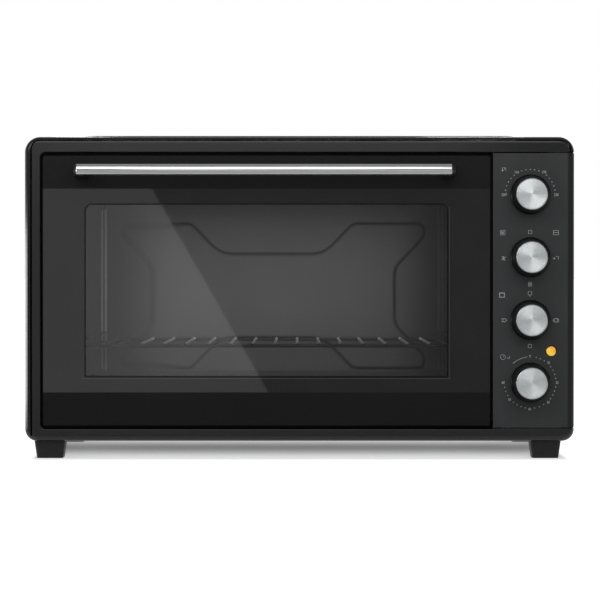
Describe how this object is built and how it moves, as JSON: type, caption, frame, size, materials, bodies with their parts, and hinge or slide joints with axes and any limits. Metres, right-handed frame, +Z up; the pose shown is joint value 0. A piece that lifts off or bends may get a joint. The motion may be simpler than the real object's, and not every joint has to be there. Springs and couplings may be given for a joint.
{
  "type": "mini oven",
  "caption": "Countertop mini oven with a drop-down glass door, bar handle, wire rack, heating elements, fan and a side column of rotary controls.",
  "frame": {"origin": "on the table, under the middle of the whole oven", "axes": "+X to the right seen from the front, +Y to the back, +Z up; the door faces -Y"},
  "size_m": [0.55, 0.421, 0.3244],
  "materials": {
    "enamel_black": "semi-gloss black enamel",
    "casing_black": "fine textured black powder coat",
    "door_black": "satin black enamel",
    "glass_clear": "tempered glass with a black printed border",
    "panel_plastic": "fine grained charcoal plastic",
    "knob_plastic": "black moulded plastic",
    "spun_aluminium": "spun aluminium with a bright rim",
    "steel_handle": "brushed stainless steel",
    "post_plastic": "black plastic",
    "cavity_enamel": "dark grey enamelled steel",
    "zinc_steel": "zinc plated steel",
    "rack_chrome": "chromed wire",
    "element_steel": "heat darkened steel sheath",
    "ceramic_white": "unglazed steatite",
    "foot_plastic": "black moulded plastic",
    "control_plastic": "heat resistant moulding",
    "lens_amber": "translucent amber",
    "fan_aluminium": "pressed aluminium",
    "motor_steel": "laminated steel",
    "wire_insulation": "silicone insulation",
    "gland_plastic": "black nylon"
  },
  "bodies": {
    "oven_body": {"front_frame": "enamel_black", "outer_casing": "casing_black", "base_plate": "zinc_steel", "rear_cover": "casing_black", "case_screws": "zinc_steel", "feet": "foot_plastic", "cavity_front_plate": "door_black", "cavity_top_wall": "cavity_enamel", "cavity_floor": "cavity_enamel", "cavity_left_wall": "cavity_enamel", "cavity_right_wall": "cavity_enamel", "cavity_back_wall": "cavity_enamel", "lower_reflector": "zinc_steel", "rack_runner_left": "cavity_enamel", "rack_runner_right": "cavity_enamel", "element_insulators": "ceramic_white", "hinge_brackets": "enamel_black", "control_panel": "panel_plastic", "switch_bracket": "zinc_steel", "shaft_nuts": "zinc_steel", "thermostat_body": "control_plastic", "function_switch_body": "control_plastic", "heat_switch_body": "control_plastic", "timer_body": "zinc_steel", "pilot_lamp_lens": "lens_amber", "pilot_lamp_body": "control_plastic", "fan_housing": "zinc_steel", "fan_motor": "motor_steel", "thermostat_bulb": "zinc_steel", "terminal_block": "ceramic_white", "cable_gland": "gland_plastic", "wiring": "wire_insulation", "upper_element_front": "element_steel", "upper_element_rear": "element_steel", "lower_element_front": "element_steel", "lower_element_rear": "element_steel"},
    "door": {"door_top_rail": "door_black", "door_bottom_rail": "door_black", "door_glass": "glass_clear", "door_inner_frame": "door_black", "door_stays": "zinc_steel", "handle_bar": "steel_handle", "handle_post_left": "post_plastic", "handle_post_right": "post_plastic", "handle_screws": "zinc_steel"},
    "rack": {"wire_rack": "rack_chrome"},
    "fan": {"fan_impeller": "fan_aluminium", "fan_rotor": "motor_steel"},
    "temperature_dial": {"temperature_knob": "knob_plastic", "temperature_knob_cap": "spun_aluminium", "temperature_shaft": "zinc_steel"},
    "function_dial": {"function_knob": "knob_plastic", "function_knob_cap": "spun_aluminium", "function_shaft": "zinc_steel"},
    "heat_dial": {"heat_knob": "knob_plastic", "heat_knob_cap": "spun_aluminium", "heat_shaft": "zinc_steel"},
    "timer_dial": {"timer_knob": "knob_plastic", "timer_knob_cap": "spun_aluminium", "timer_shaft": "zinc_steel"}
  },
  "joints": [
    {"name": "door_hinge", "type": "hinge", "parent": "oven_body", "child": "door", "pos_m": [0, -0.1605, 0.0383], "axis": [1, 0, 0], "range_deg": [0, 85]},
    {"name": "rack_slide", "type": "slide", "parent": "oven_body", "child": "rack", "axis": [0, -1, 0], "range_m": [0, 0.11186]},
    {"name": "temperature_dial_turn", "type": "hinge", "parent": "oven_body", "child": "temperature_dial", "pos_m": [0.2307, -0.1665, 0.2643], "axis": [0, 1, 0], "range_deg": [0, 180]},
    {"name": "function_dial_turn", "type": "hinge", "parent": "oven_body", "child": "function_dial", "pos_m": [0.2307, -0.1665, 0.2016], "axis": [0, 1, 0], "range_deg": [0, 270]},
    {"name": "heat_dial_turn", "type": "hinge", "parent": "oven_body", "child": "heat_dial", "pos_m": [0.2307, -0.1665, 0.1389], "axis": [0, 1, 0], "range_deg": [0, 270]},
    {"name": "timer_dial_turn", "type": "hinge", "parent": "oven_body", "child": "timer_dial", "pos_m": [0.2307, -0.1665, 0.0763], "axis": [0, 1, 0], "range_deg": [-48, 270]},
    {"name": "fan_spin", "type": "hinge", "parent": "oven_body", "child": "fan", "pos_m": [0.17, 0.0185, 0.17], "axis": [1, 0, 0], "continuous": true}
  ],
  "couplings": [
    {"joint": "rack_slide", "follows": "door_hinge", "m_per_rad": 0.0754}
  ]
}
